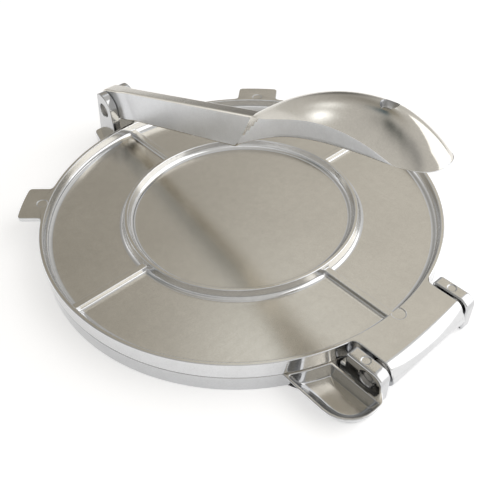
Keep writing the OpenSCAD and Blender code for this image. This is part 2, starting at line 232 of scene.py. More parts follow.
def formed(grid):
    """A closed surface made an object: quads between neighbouring points, poles and seams merged where
    points are within WELD metres, sides shorter than SLIVER dropped, and normals turned outwards."""
    rows, columns = grid.shape[:2]
    index = np.arange(rows * columns).reshape(rows, columns)
    quads = np.stack([index[:-1, :-1], index[1:, :-1], index[1:, 1:], index[:-1, 1:]], axis=-1)
    mesh = bpy.data.meshes.new("form")
    mesh.from_pydata((grid.reshape(-1, 3) * MM).tolist(), [], quads.reshape(-1, 4).tolist())
    work = bmesh.new()
    work.from_mesh(mesh)
    bmesh.ops.remove_doubles(work, verts=work.verts, dist=WELD)
    bmesh.ops.dissolve_degenerate(work, dist=SLIVER, edges=work.edges)
    bmesh.ops.recalc_face_normals(work, faces=work.faces)
    work.to_mesh(mesh)
    work.free()
    check_closed(mesh)
    piece = bpy.data.objects.new("form", mesh)
    bpy.context.scene.collection.objects.link(piece)
    return piece


def fused(solids, cuts=()):
    """One closed object: the union of solids, less the cuts. Each is a grid of points or an object."""
    shapes = [shape if isinstance(shape, bpy.types.Object) else formed(shape)
              for shape in (*solids, *cuts)]
    whole = shapes[0]
    for k, shape in enumerate(shapes[1:], 1):
        join = whole.modifiers.new("Join", "BOOLEAN")
        join.operation = "UNION" if k < len(solids) else "DIFFERENCE"
        join.solver = "MANIFOLD"
        join.object = shape
    result = whole.evaluated_get(bpy.context.evaluated_depsgraph_get())
    mesh = bpy.data.meshes.new_from_object(result)
    whole.modifiers.clear()
    whole.data = mesh
    for shape in shapes[1:]:
        spent = shape.data
        bpy.data.objects.remove(shape)
        bpy.data.meshes.remove(spent)
    return whole


def upward(normals):
    """Which faces lie flat and look up: those whose normal leans less than about 2 degrees."""
    return normals[:, 2] > LEVEL


def casting(name, whole, body, node, material, marked=upward):
    """Finishes a fused object as one piece: the faces that marked picks by their normals get the second
    finish, edges bent past SHARP stay crisp, and it replaces its frame node on the node's body."""
    whole.name = whole.data.name = name
    mesh = whole.data
    check_closed(mesh)
    normals = np.empty(len(mesh.polygons) * 3, np.float32)
    mesh.polygons.foreach_get("normal", normals)
    # On the plates and base these are the upward flats, whose satin colour carries a painted warm reflection
    # of the room above them.
    flat = marked(normals.reshape(-1, 3)).astype(np.float32)
    mesh.attributes.new("satin", "FLOAT", "FACE").data.foreach_set("value", flat)
    mesh.shade_smooth()
    mesh.set_sharp_from_angle(angle=SHARP)
    mesh.materials.clear()
    mesh.materials.append(material)
    weigh = whole.modifiers.new("Even flats", "WEIGHTED_NORMAL")
    weigh.keep_sharp = True
    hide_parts(node)
    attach(whole, body)


def moulding_mark(x, y, radius):
    """The cut for a round moulding mark in a flat at rim height: shallow, with a slanted wall."""
    deep, slant = 0.3, 0.6
    profile = rounded([(0, -deep), (radius - slant, -deep, 0.2), (radius, 0.05, 0.1), (radius, 1),
                       (0, 1)], 3)
    return turned(profile, (x, y, RIM_Z))


def pin_bore(x, z, radius, face, bevel=0.4):
    """The cut for a pin along Y: a round bore, bevelled where it opens at the faces at +face and -face."""
    wide, past = radius + bevel, face + 3
    profile = np.array([(0, -past), (wide, -past), (wide, -face), (radius, -face + bevel),
                        (radius, face - bevel), (wide, face), (wide, past), (0, past)])
    return turned(profile, (x, 0, z), ALONG_Y, 72)


# Materials

def metal(name, wall_colour, flat_colour, wall_rough, flat_rough):
    """Bare metal in two finishes: one for walls and edges, and a second where the piece's satin
    attribute is 1. Both vary finely and cloudily, over a hair-fine casting texture."""
    material = bpy.data.materials.new(name)
    material.use_nodes = True
    nodes, links = material.node_tree.nodes, material.node_tree.links
    shader = nodes["Principled BSDF"]
    shader.inputs["Metallic"].default_value = 1
    where = nodes.new("ShaderNodeTexCoord")
    share = nodes.new("ShaderNodeAttribute")
    share.attribute_name = "satin"

    def noise(scale, detail, stretch=(1, 1, 1)):
        """Noise between 0 and 1 in object space, of this many periods a metre."""
        place = nodes.new("ShaderNodeMapping")
        place.inputs["Scale"].default_value = stretch
        links.new(where.outputs["Object"], place.inputs["Vector"])
        node = nodes.new("ShaderNodeTexNoise")
        node.inputs["Scale"].default_value = scale
        node.inputs["Detail"].default_value = detail
        links.new(place.outputs["Vector"], node.inputs["Vector"])
        return node.outputs["Fac"]

    def maths(operation, a, b):
        """One operation on two values, each a number or a socket."""
        node = nodes.new("ShaderNodeMath")
        node.operation = operation
        for socket, value in zip(node.inputs, (a, b)):
            if isinstance(value, (int, float)):
                socket.default_value = value
            else:
                links.new(value, socket)
        return node.outputs[0]

    def span(value, low, high):
        """Takes noise about 0.5 to a factor between about low and high."""
        return maths("ADD", maths("MULTIPLY", value, high - low), low)

    cloud = noise(45, 3)
    mottle = noise(260, 2)
    grain = noise(1300, 1)
    brushed = noise(700, 1, (1, 0.06, 1))
    # The flat colour goes where the satin attribute is 1. On the castings the flats' warm tone is a painted
    # reflection, and the base's darker walls are partly painted shade.
    mix = nodes.new("ShaderNodeMix")
    mix.data_type = "RGBA"
    links.new(share.outputs["Fac"], mix.inputs["Factor"])
    mix.inputs["A"].default_value = (*wall_colour, 1)
    mix.inputs["B"].default_value = (*flat_colour, 1)
    tone = nodes.new("ShaderNodeMix")
    tone.data_type = "RGBA"
    tone.blend_type = "MULTIPLY"
    tone.inputs["Factor"].default_value = 1
    links.new(mix.outputs["Result"], tone.inputs["A"])
    worn = maths("MULTIPLY", span(mottle, 0.94, 1.04), span(grain, 0.93, 1.05))
    worn = maths("MULTIPLY", span(cloud, 0.93, 1.04), worn)
    grey = nodes.new("ShaderNodeCombineColor")
    for channel in ("Red", "Green", "Blue"):
        links.new(worn, grey.inputs[channel])
    links.new(grey.outputs[0], tone.inputs["B"])
    links.new(tone.outputs["Result"], shader.inputs["Base Color"])
    rough = nodes.new("ShaderNodeMapRange")
    rough.inputs["To Min"].default_value = wall_rough
    rough.inputs["To Max"].default_value = flat_rough
    links.new(share.outputs["Fac"], rough.inputs["Value"])
    uneven = maths("MULTIPLY", span(cloud, 0.8, 1.2), span(brushed, 0.85, 1.15))
    links.new(maths("MULTIPLY", rough.outputs["Result"], uneven), shader.inputs["Roughness"])
    bump = nodes.new("ShaderNodeBump")
    bump.inputs["Strength"].default_value = 0.25
    bump.inputs["Distance"].default_value = 0.00002
    links.new(maths("ADD", grain, maths("MULTIPLY", mottle, 1.5)), bump.inputs["Height"])
    links.new(bump.outputs["Normal"], shader.inputs["Normal"])
    return material


# Properties

def length(name, description, default, low, high):
    """A size in millimetres."""
    return bpy.props.FloatProperty(name=name, description=f"{description}, in millimetres",
                                   default=default, min=low, max=high)


def colour(name, description, default):
    """A colour."""
    return bpy.props.FloatVectorProperty(name=name, description=description, subtype="COLOR",
                                         default=default, min=0, max=1)


def share_of_one(name, description, default):
    """A number from 0 to 1."""
    return bpy.props.FloatProperty(name=name, description=description, subtype="FACTOR",
                                   default=default, min=0, max=1)


class PressSizes(bpy.types.PropertyGroup):
    """Roundings of the castings that a maker would change."""
    edge: length("Edge", "Rounding of the castings' edges", 0.45, 0.1, 1)
    ear_edge: length("Ear edge", "Rounding of the ears' edges", 0.9, 0.1, 1.5)
    ring_fillet: length("Ring fillet", "Fillet at the foot of the ring", 2.2, 1, 3)
    rim_fillet: length("Rim fillet", "Fillet at the foot of the rim", 3.0, 1, 4)
    rib_fillet: length("Rib fillet", "Fillet at the foot of a rib", 0.9, 0.3, 2)


class PressFinish(bpy.types.PropertyGroup):
    """Colours and polish of the metal."""
    polished: colour("Polished walls", "Colour of the polished walls and edges", (0.71, 0.715, 0.725))
    # The satin floors' rougher finish is real; their warm beige tone is a painted reflection of the warm room
    # that these upward faces mirror.
    satin: colour("Satin floors with painted reflection", "Colour of the satin floors and flats", (0.67, 0.635, 0.565))
    # The base's walls are darker than the plate's polished walls: partly the base's own cast tone, partly
    # painted shade for the shadowed floor that they mirror.
    cast: colour("Shaded cast walls", "Colour of the base's walls and edges", (0.6, 0.605, 0.615))
    handle: colour("Handle", "Colour of the lever's polished handle and edges", (0.68, 0.655, 0.605))
    ground: colour("Ground sides", "Colour of the lever's ground sides", (0.76, 0.77, 0.79))
    steel: colour("Pins", "Colour of the steel pins", (0.5, 0.48, 0.45))
    polish_rough: share_of_one("Polish", "Roughness of the polished walls", 0.14)
    satin_rough: share_of_one("Satin", "Roughness of the satin floors", 0.22)
    ground_rough: share_of_one("Grinding", "Roughness of the lever's ground sides", 0.35)
    steel_rough: share_of_one("Pin polish", "Roughness of the pins", 0.28)


class PressStage(bpy.types.PropertyGroup):
    """The room that the press is shown in."""
    lens: bpy.props.FloatProperty(name="Lens", description="Focal length of the camera, in millimetres",
                                  unit="CAMERA", default=45.56, min=20, max=200)
    floor: colour("Floor", "Colour of the floor", (0.86, 0.86, 0.87))
    lamp_watts: bpy.props.FloatProperty(name="Lamp", description="Power of the soft lamp, in watts",
                                        unit="POWER", default=6, min=0)
    lamp_size: bpy.props.FloatProperty(name="Lamp size", description="Side of the soft lamp",
                                       subtype="DISTANCE", default=1.3, min=0.1, max=2)


def sizes():
    """The roundings now set."""
    return bpy.context.scene.press_sizes


def finish():
    """The colours and polish now set."""
    return bpy.context.scene.press_finish


# The top plate

RING_FOOT_IN = 55.9
RING_TOP_IN = 57.2
RING_TOP_OUT = 58.9
RING_FOOT_OUT = 60.2
RING_TOP_Z = 15.5
RIM_FOOT = 97.4
RIM_TOP_IN = 98.2
RIB_HALF = 1.7
RIB_HEIGHT = 2.5
TAB_ANGLE = radians(46.8)
TONGUE_HALF = 23.7
TONGUE_ROOT = PLATE_R - 1.1
TAB_MARK_AT = 101.7
TAB_MARK_R = 3.1
TONGUE_MARK_X = 100.4
TONGUE_MARK_R = 3.5


def top_dish():
    """The round top plate: a section turned about Z, from the floor's middle over ring and rim,
    down the outside and back along the pressing face, with four radial ribs between ring and rim."""
    size = sizes()
    edge = size.edge
    dish = rounded([(0, FLOOR_Z), (RING_FOOT_IN, FLOOR_Z, size.ring_fillet + 0.4),
                    (RING_TOP_IN, RING_TOP_Z, edge), (RING_TOP_OUT, RING_TOP_Z, edge),
                    (RING_FOOT_OUT, FLOOR_Z, size.ring_fillet), (RIM_FOOT, FLOOR_Z, size.rim_fillet),
                    (RIM_TOP_IN, RIM_Z, edge), (PLATE_R, RIM_Z, edge), (PLATE_R, PLATE_Z, edge),
                    (0, PLATE_Z)], 6)
    path = refined(dish, 2.2)
    ribbed = (path[:, 0] < RIM_TOP_IN + edge) & (path[:, 1] > PLATE_Z + 1)
    rib = [(0, RIB_HEIGHT), (RIB_HALF, RIB_HEIGHT, 0.35), (RIB_HALF + 0.2, 0, size.rib_fillet), (7, 0)]
    ribs = refined(rounded(rib, 4), 1.2)
    ribs[ribs[:, 1] < 1e-6, 1] = 0
    return ribbed_disc((path, ribbed), ribs, FLOOR_Z, (RING_TOP_IN + RING_TOP_OUT) / 2, spread=76, up=1)


def tab(angle):
    """A lifting tab: flat on top, its outer edge round the plate's axis, its sides flaring where they
    leave the rim. It is drawn on the +X side and turned to its place."""
    width, flare, reach, corner, deep = 23.5, 2.5, 12.0, 2.0, 2.5
    end = PLATE_R + reach
    half = width / 2
    far_x = sqrt(end * end - half * half)
    foot = half + flare
    foot_x = sqrt(PLATE_R * PLATE_R - foot * foot)
    bow = asin(half / end)
    root = PLATE_R - 0.9
    corners = [(foot_x - 0.9, -foot - 0.2), (foot_x + 0.02, -foot - 0.02),
               (foot_x + 0.6, -half, flare * 0.8), (far_x, -half, corner)]
    corners += [(end * cos(a), end * sin(a), 8) for a in np.linspace(-bow * 0.7, bow * 0.7, 7)]
    corners += [(far_x, half, corner), (foot_x + 0.6, half, flare * 0.8), (foot_x + 0.02, foot + 0.02),
                (foot_x - 0.9, foot + 0.2)]
    wide = asin((foot + 0.2) / PLATE_R)
    corners += [(root * cos(a), root * sin(a)) for a in np.linspace(wide, -wide, 7)[1:-1]]
    outline = refined(rounded(corners, 5, closed=True), 1.5)
    grid = slab(outline, RIM_Z - deep, RIM_Z, 0.35, (PLATE_R + 3, 0))
    turn = np.array([(cos(angle), sin(angle), 0), (-sin(angle), cos(angle), 0), (0, 0, 1)])
    return grid @ turn


def tongue():
    """The hinge tongue: a side view of flat top and round barrel about the hinge pin, carried along Y.
    Its root follows the rim, and past the pin its upper part follows an arc about the plate's axis."""
    barrel, shoulder = 8.6, 6.0
    start = pi + asin((HINGE_Z - PLATE_Z) / barrel)
    outline = [(TONGUE_ROOT, RIM_Z), (TONGUE_ROOT, PLATE_Z)]
    turns = np.linspace(start, 2 * pi, 26)
    outline += [(HINGE_X + barrel * cos(a), HINGE_Z + barrel * sin(a)) for a in turns]
    outline += [(TONGUE_END, HINGE_Z + 0.3, 0.5), (TONGUE_END, RIM_Z, shoulder - 0.2)]
    path = refined(rounded(outline, 14, closed=True), 1.5)
    grid = upright(slab(path, -TONGUE_HALF, TONGUE_HALF, 0.5, (HINGE_X, HINGE_Z), 24))
    y = grid[..., 1]
    past = np.clip((grid[..., 0] - HINGE_X) / (TONGUE_END - HINGE_X), 0, 1)
    upper = np.clip((grid[..., 2] - HINGE_Z + 2) / 4, 0, 1)
    behind = np.clip(TONGUE_ROOT + 0.6 - grid[..., 0], 0, 0.1) / 0.1
    grid[..., 0] -= past * upper * (TONGUE_END - np.sqrt(TONGUE_END ** 2 - y * y))
    grid[..., 0] -= behind * (TONGUE_ROOT - np.sqrt(TONGUE_ROOT ** 2 - y * y))
    return grid


def neck(side):
    """The fillet between rim and tongue, seen from above: an arc tangent to both, and behind it a root
    that follows the rim from inside."""
    radius = 3.2
    y = TONGUE_HALF + radius
    x = sqrt((PLATE_R + radius) ** 2 - y * y)
    slope = atan2(y, x)
    turns = np.linspace(-pi / 2, slope - pi, 9)
    arc = [(x + radius * cos(a), y + radius * sin(a)) for a in turns]
    spread = np.linspace(slope + 0.012, asin((TONGUE_HALF - 1) / TONGUE_ROOT), 5)
    root = [(TONGUE_ROOT * cos(a), TONGUE_ROOT * sin(a)) for a in spread]
    corners = [(x + 0.4, TONGUE_HALF - 1), (x + 0.4, TONGUE_HALF)] + arc + root
    outline = refined(rounded(corners, 4, closed=True), 1.0)
    grid = slab(outline, PLATE_Z, RIM_Z, 0.25, (x - 1.2, TONGUE_HALF - 0.3))
    return grid * (1, side, 1)


class PRESS_OT_top_plate(bpy.types.Operator):
    """Build the top plate with its ring, ribs, lifting tabs and hinge tongue"""
    bl_idname = "press.top_plate"
    bl_label = "Top plate"

    def execute(self, context):
        sides = (-1, 1)
        parts = [top_dish(), tongue()] + [tab(pi + side * TAB_ANGLE) for side in sides]
        parts += [neck(side) for side in sides]
        mark_x, mark_y = -TAB_MARK_AT * cos(TAB_ANGLE), TAB_MARK_AT * sin(TAB_ANGLE)
        cuts = [moulding_mark(mark_x, side * mark_y, TAB_MARK_R) for side in sides]
        cuts.append(moulding_mark(TONGUE_MARK_X, 0, TONGUE_MARK_R))
        cuts.append(pin_bore(HINGE_X, HINGE_Z, PIN_R + RUNNING_GAP, TONGUE_HALF, RUNNING_BEVEL))
        look = finish()
        # The flats take the satin colour, whose warm tone is a painted reflection.
        cast = metal("plate_metal", look.polished, look.satin, look.polish_rough, look.satin_rough)
        casting("top_casting", fused(parts, cuts), "plate", "top_plate", cast)
        return {"FINISHED"}


# The base

CLEVIS_T = 5.1
CLEVIS_IN = 4.3
CLEVIS_OUT = CLEVIS_IN + CLEVIS_T
EAR_IN = 25.1
EAR_OUT = 31.1
LUG_END = 121.2
LOBE_END = 121.2
LOBE_FLOOR = 1.5
LOBE_HEART = (107.5, -41.5)
EAR_MARK_X = 106.9
EAR_MARK_R = 2.3


def base_disc():
    """The base's round plate: a section turned about Z, flat on top, with a thick outer wall and,
    underneath, a ring and four ribs that stay off the table."""
    edge = sizes().edge
    wall, skin, clear, ring_in, ring_out = 96.0, 5.1, 1.2, 57.4, 60.4
    section = rounded([(0, BASE_TOP), (PLATE_R, BASE_TOP, edge), (PLATE_R, 0, edge), (wall, 0, edge),
                       (wall, skin, 1), (ring_out, skin, 1), (ring_out, clear, edge), (ring_in, clear, edge),
                       (ring_in, skin, 1), (0, skin)], 5)
    path = refined(section, 3)
    ribbed = (path[:, 1] < skin + 0.01) & (path[:, 0] < wall)
    ribs = refined(rounded([(0, skin - clear), (1.5, skin - clear, 0.3), (1.6, 0, 0.8), (6, 0)], 3), 2)
    ribs[ribs[:, 1] < 1e-6, 1] = 0
    return ribbed_disc((path, ribbed), ribs, skin, (ring_in + ring_out) / 2, spread=60, up=-1)


def hinge_ear(side):
    """A hinge ear: an upright plate level with the rim, its upper outer corner round, and a foot that
    reaches back into the base."""
    back, out, corner, root = 99.0, 117.6, 4.7, 96.5
    outline = rounded([(root, 0.02), (out, 0.02, 0.5), (out, RIM_Z, corner), (back, RIM_Z, 1.6),
                       (back, BASE_TOP - 0.05), (root, BASE_TOP - 0.05)], 8, closed=True)
    plan = slab(refined(outline, 1.2), EAR_IN, EAR_OUT, sizes().ear_edge, (HINGE_X, HINGE_Z - 4), 4)
    return upright(plan, side)


def clevis_ear(side):
    """A clevis ear: upright towards the plate, round over the top, sloping outside."""
    inner, radius, rise, foot = LEVER_X + 7.6, 8.4, 1.5, LEVER_X - 9.4
    heart = (inner - radius, LEVER_Z + rise)
    turns = np.linspace(0, radians(118), 20)
    outline = [(foot, BASE_TOP), (foot, BASE_TOP - 1.5), (inner, BASE_TOP - 1.5)]
    outline += [(heart[0] + radius * cos(a), heart[1] + radius * sin(a)) for a in turns]
    path = refined(rounded(outline, 4, closed=True), 1.0)
    return upright(slab(path, CLEVIS_IN, CLEVIS_OUT, 0.6, (LEVER_X, LEVER_Z - 4), 3), side)


def lug():
    """The lug under the clevis: flat, level with the base, with two rounded outer corners."""
    root_x, root_half, half = -PLATE_R + 3, 20.0, 13.0
    corners = [(root_x, root_half), (-LUG_END, half, 3.2), (-LUG_END, -half, 3.2), (root_x, -root_half)]
    outline = refined(rounded(corners, 7, closed=True), 1.5)
    return slab(outline, 0, BASE_TOP, sizes().edge, (-PLATE_R - 5, 0))


def lofted(levels, heart):
    """A closed surface through matched outlines, from (outline, height) pairs, closed at both ends by
    rows that shrink to heart."""
    heart = np.array(heart)[None]

    def row(outline, z, share=1):
        """The outline at height z, drawn in towards heart until share of it is left."""
        return np.c_[heart + (outline - heart) * share, np.full(len(outline), z)]

    ends = [row(*levels[0], share) for share in (0, 0.5)], [row(*levels[-1], share) for share in (0.5, 0)]
    return np.stack(ends[0] + [row(*level) for level in levels] + ends[1])


def lobe_outside():
    """The lobe's outside: outlines drawn between a foot and a wider top, with both edges rounded. Each
    outline leaves the plate's circle, rounds the lobe's end and runs on to the hinge ear."""
    turn = np.linspace(0, pi / 2, 6)
    lip, foot_edge = 0.45, 0.6

    def outline(south, tip, end, end_r, bend):
        """The lobe from above: its south side, how far that leans at the plate, and its rounded end."""
        return matched([(*on_circle(PLATE_R - 2, south - tip), 0.3), (*on_circle(PLATE_R + 0.5, south), bend),
                        (end, south, end_r), (end, -33.2, 3.4), (117.4, -29.2, 0.6),
                        (*on_circle(PLATE_R - 2, -29.2), 0.3), (*on_circle(PLATE_R - 2, -40), 2)])

    top, foot = outline(-52.5, 0.6, LOBE_END, 14.0, 0.3), outline(-48.6, 3.6, LOBE_END - 2.4, 11.5, 1.6)

    def at(z):
        """The outline at height z, on the straight way from foot to top."""
        return foot + (top - foot) * z / BASE_TOP

    levels = [(inset(at(0), foot_edge * (1 - sin(a))), foot_edge * (1 - cos(a))) for a in turn]
    levels += [(at(z), z) for z in np.linspace(foot_edge, BASE_TOP - lip, 7)[1:-1]]
    levels += [(inset(at(BASE_TOP), lip * (1 - cos(a))), BASE_TOP - lip * (1 - sin(a))) for a in turn]
    return lofted(levels, LOBE_HEART)


def lobe_pocket():
    """The cut for the lobe's pocket: upright walls beside plate and ear, and a bowl-shaped outer side,
    whose outlines widen with the square root of the height; the lip is rounded."""
    turn = np.linspace(0, pi / 2, 6)
    lip = 0.35

    def outline(wall_r, south, east, north, end_r, corner):
        """The pocket from above, between a circle about the plate's axis and the lobe's wall."""
        return matched([(*on_circle(wall_r, south), corner), (east, south, end_r), (east, north, corner),
                        (*on_circle(wall_r, north), corner), (*on_circle(wall_r, (south + north) / 2), 2)])

    top = outline(PLATE_R + 0.8, -51.4, LOBE_END - 0.9, -34.5, 13.2, 1.0)
    foot = outline(PLATE_R + 2.2, -45.6, LOBE_END - 5.6, -35.2, 8.4, 0.5)
    deep = BASE_TOP - LOBE_FLOOR
    shares = np.linspace(0, 1, 12)[:-1]
    levels = [(foot + (top - foot) * share, LOBE_FLOOR + deep * share ** 2) for share in shares]
    levels += [(inset(top, -lip * (1 - cos(a))), BASE_TOP - lip * (1 - sin(a))) for a in turn]
    levels.append((inset(top, -lip), BASE_TOP + 2))
    return lofted(levels, LOBE_HEART)


def ear_groove():
    """The cut for the narrow groove between the hinge ear and the lobe's pocket."""
    north, south, end = -EAR_OUT + 1.5, -33.6, 117.2
    plan = rounded([(*on_circle(PLATE_R + 0.3, north), 0.2), (*on_circle(PLATE_R + 0.3, south), 0.2),
                    (end, south, 0.9), (end, north, 0.3)], 4, closed=True)
    return slab(refined(plan, 2), LOBE_FLOOR + 0.1, BASE_TOP + 2, 0.3, (108, (north + south) / 2))


class PRESS_OT_base(bpy.types.Operator):
    """Build the base with its hinge ears, clevis ears, lug and hollow lobe"""
    bl_idname = "press.base"
    bl_label = "Base"

    def execute(self, context):
        lobe = fused([lobe_outside()], [lobe_pocket(), ear_groove()])
        parts = [base_disc(), lug(), lobe]
        sides = (-1, 1)
        parts += [hinge_ear(side) for side in sides] + [clevis_ear(side) for side in sides]
        mark_y = (EAR_IN + EAR_OUT) / 2
        cuts = [moulding_mark(EAR_MARK_X, side * mark_y, EAR_MARK_R) for side in sides]
        bore_r = PIN_R + PRESS_FIT_GAP
        cuts.append(pin_bore(HINGE_X, HINGE_Z, bore_r, EAR_OUT))
        cuts.append(pin_bore(LEVER_X, LEVER_Z, bore_r, CLEVIS_OUT))
        look = finish()
        # The walls take the darker cast colour, partly painted shade; the flats take the satin colour with
        # its painted reflection.
        cast = metal("base_metal", look.cast, look.satin, look.polish_rough, look.satin_rough)
        casting("base_casting", fused(parts, cuts), "base", "base_plate", cast)
        return {"FINISHED"}


# The lever

LIFT = radians(17)
LEVER_UP = np.array([-sin(LIFT), 0, cos(LIFT)])
FOOT_U = 115.3
SCOOP_U = FOOT_U + 9.7
SCOOP_LEN = 104.0
BAR_LOW = -6.6
BAR_TOP = 10.9
BAR_MID = (BAR_LOW + BAR_TOP) / 2
BAR_HALF = 3.0
HUB_HALF = 4.15
HOLE_U = 208.0
HOLE_W = 22.1


def lever_place(u, y, w):
    """Turns the lever's own lengths (along u, sideways y, up w) into the frame."""
    x = LEVER_X + u * cos(LIFT) - w * sin(LIFT)
    z = LEVER_Z + u * sin(LIFT) + w * cos(LIFT)
    return np.stack(np.broadcast_arrays(x, y, z), axis=-1)


def lever_sides(normals):
    """Which faces run along the lever's own up direction: its flat sides and the scoop's flange."""
    return np.abs(normals @ LEVER_UP) < ALONG_SIDES


def bar():
    """The lever's bar: rounded rectangles along its length, from the round hub between the clevis ears,
    narrowing to the bar, down to the foot and, with a slanted end, into the scoop's start."""
    hub = (BAR_TOP - BAR_LOW) / 2
    start = -hub * np.cos(np.linspace(0.08, pi / 2, 14))
    u = np.concatenate([start, np.linspace(1, 12, 7), np.linspace(13, 22, 8), np.linspace(26, FOOT_U, 26),
                        FOOT_U + np.linspace(0.5, 3, 4), np.linspace(FOOT_U + 4, SCOOP_U + 1, 6)])
    tall = np.sqrt(np.maximum(hub * hub - np.minimum(u, 0) ** 2, 0))
    foot_step, hub_end, narrowing, edge = 0.85, 12, 10, 0.9
    step = foot_step * np.clip((u - FOOT_U) / 3, 0, 1)
    middle, tall = (BAR_MID + step)[:, None], (tall - step)[:, None]
    taper = np.clip((u - hub_end) / narrowing, 0, 1)
    half = HUB_HALF + (BAR_HALF - HUB_HALF) * (taper * taper * (3 - 2 * taper))
    turn = np.linspace(0, pi / 2, 5)
    quarters = np.concatenate([turn + k * pi / 2 for k in range(4)] + [[2 * pi]])
    uses = [len(turn)] * 4 + [1]
    side_y = np.repeat([1, -1, -1, 1, 1], uses)
    side_w = np.repeat([1, 1, -1, -1, 1], uses)
    soft = np.minimum(edge, tall)
    y = side_y * (half[:, None] - edge) + edge * np.cos(quarters)
    w = middle + side_w * (tall - soft) + soft * np.sin(quarters)
    slant = np.clip((u - FOOT_U - 3) / (SCOOP_U - FOOT_U - 2), 0, 1)[:, None]
    grid = lever_place(u[:, None] + slant * (w - BAR_MID), y, w)
    ends = [np.repeat(grid[k].mean(axis=0)[None, None], grid.shape[1], axis=1) for k in (0, -1)]
    return np.concatenate([ends[0], grid, ends[1]])


def curve(heights, s):
    """A smooth curve drawn through control heights (repeated halving between neighbours), at shares s."""
    rows = [np.full_like(s, h, dtype=float) for h in heights]
    while len(rows) > 1:
        rows = [a * (1 - s) + b * s for a, b in zip(rows, rows[1:])]
    return rows[0]


def nose(s, power):
    """1 along the scoop, falling round to 0 at its tip."""
    past = np.clip((s - 0.8) / 0.2, 0, 1)
    return (1 - past ** power) ** (1 / power)


def scoop():
    """The hollow scoop handle. Each cross section runs along the outside from one lower edge over the
    crown to the other, round the edge, and back along the inside; the inside opens from flat at the
    bar's end to the full hollow, and all sections close at the tip."""
    rise, arch, half, thick, edge, least_flange = 18.9, 7.0, 9.5, 2.4, 0.5, 0.6
    short_of_tip = 1 - 1e-5
    s = short_of_tip * (1 - (1 - np.linspace(0, 1, 90)) ** 1.7)[:, None]
    low = curve([1.6 + BAR_LOW, arch, arch * 1.5, arch * 1.36, arch * 1.12, 4.2], s)

    def section(t, y):
        """Half width, height of the shoulders and height at shares y of the half width, of the outside
        (t = 0) or of a wall t further in."""
        shoulder = curve([BAR_TOP + k * rise for k in (-0.02, 0.06, 0.56, 0.45, -0.73)], s)
        crown = curve([BAR_TOP + k * rise for k in (0.03, 0.6, 0.62, 1, 0.88, 0.25)], s)
        shoulder = low + np.maximum(shoulder - low - t / 2, least_flange) * nose(s, 2)
        crown = low + (crown - low - t) * nose(s, 2)
        wide = (curve([BAR_HALF + 0.1] + [k * half for k in (0.79, 1, 1, 1.21)], s) - t) * nose(s, 2.6)
        bow = np.maximum(0, 1 - np.abs(y) ** 2.1)
        return np.maximum(wide, 0), shoulder, shoulder + (crown - shoulder) * bow

    def place(t, y, w):
        """Points of a wall t further in, at these sides and heights; the scoop's start is slanted."""
        u = SCOOP_U + s * (SCOOP_LEN - t) + (1 - s) ** 3 * (w - BAR_MID)
        return lever_place(u, y, w)

    def wall(t, opened):
        """One surface of the scoop, from its left lower edge over the crown to its right lower edge."""
        across = -np.cos(np.linspace(0, pi, 49))[None]
        climb = np.linspace(0, 1, 7)[None]
        wide, shoulder, over = section(t, across)
        side = low + (edge + (shoulder - low - edge) * climb) * opened
        left = place(t, -wide, side)[:, :-1]
        right = place(t, wide, side)[:, ::-1][:, 1:]
        top = place(t, wide * across, low + (over - low) * opened)
        return np.concatenate([left, top, right], axis=1), wide

    opened = np.clip((s - 0.12) / 0.05, 0, 1)
    opened = opened * opened * (3 - 2 * opened)
    outside, wide = wall(0, 1)
    inside, wide_in = wall(thick, opened)
    turn = np.linspace(0, pi, 7)[None]
    lip_y = (wide + wide_in) / 2 + (wide - wide_in) / 2 * np.cos(turn)
    lip_w = low + edge - edge * np.sin(turn)
    lip, lip_back = place(0, lip_y, lip_w), place(0, -lip_y[:, ::-1], lip_w)
    round_all = [outside, lip[:, 1:-1], inside[:, ::-1], lip_back[:, 1:-1], outside[:, :1]]
    rows = np.concatenate(round_all, axis=1)
    ends = [np.repeat(rows[k][None].mean(axis=1, keepdims=True), rows.shape[1], axis=1) for k in (0, -1)]
    return np.concatenate([ends[0], rows, ends[1]])


def hanging_hole():
    """The cut for the hanging hole, square to the lever's top."""
    radius, reach = 3.25, 9
    profile = np.array([(0, -reach), (radius, -reach), (radius, reach), (0, reach)])
    return turned(profile, lever_place(HOLE_U, 0, HOLE_W), LEVER_UP)


class PRESS_OT_lever(bpy.types.Operator):
    """Build the lever with its hub, bar and scoop handle"""
    bl_idname = "press.lever"
    bl_label = "Lever"

    def execute(self, context):
        bore = pin_bore(LEVER_X, LEVER_Z, PIN_R + RUNNING_GAP, HUB_HALF, RUNNING_BEVEL)
        whole = fused([scoop(), bar()], [hanging_hole(), bore])
        look = finish()
        ground = metal("lever_metal", look.handle, look.ground, look.polish_rough, look.ground_rough)
        casting("lever_casting", whole, "lever", "lever", ground, lever_sides)
        return {"FINISHED"}


# The pins

class PRESS_OT_pins(bpy.types.Operator):
    """Build the two steel pins, turned, with rounded ends"""
    bl_idname = "press.pins"
    bl_label = "Pins"

    def execute(self, context):
        look = finish()
        steel = metal("pin_metal", look.steel, look.steel, look.steel_rough, look.steel_rough)
        for name, node, x, z in (("hinge_rod", "hinge_pin", HINGE_X, HINGE_Z),
                                 ("lever_rod", "lever_pin", LEVER_X, LEVER_Z)):
            low, high = (corner.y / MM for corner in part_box(node))
            outline = rounded([(0, low), (PIN_R, low, 0.5), (PIN_R, high, 0.5), (0, high)], 5)
            grid = turned(refined(outline, 0.8), (x, 0, z), ALONG_Y)
            casting(name, formed(grid), "base", node, steel)
        return {"FINISHED"}


# The stage

# The camera's place, and the directions of its right, its top and its back
CAMERA_AT = (190.94, -156.22, 221.70)
CAMERA_RIGHT = (0.66529, 0.74604, -0.02854)
CAMERA_UP = (-0.50557, 0.47832, 0.71806)
CAMERA_BACK = (0.54935, -0.46330, 0.69539)
ROOM = (0.70, 0.685, 0.655)
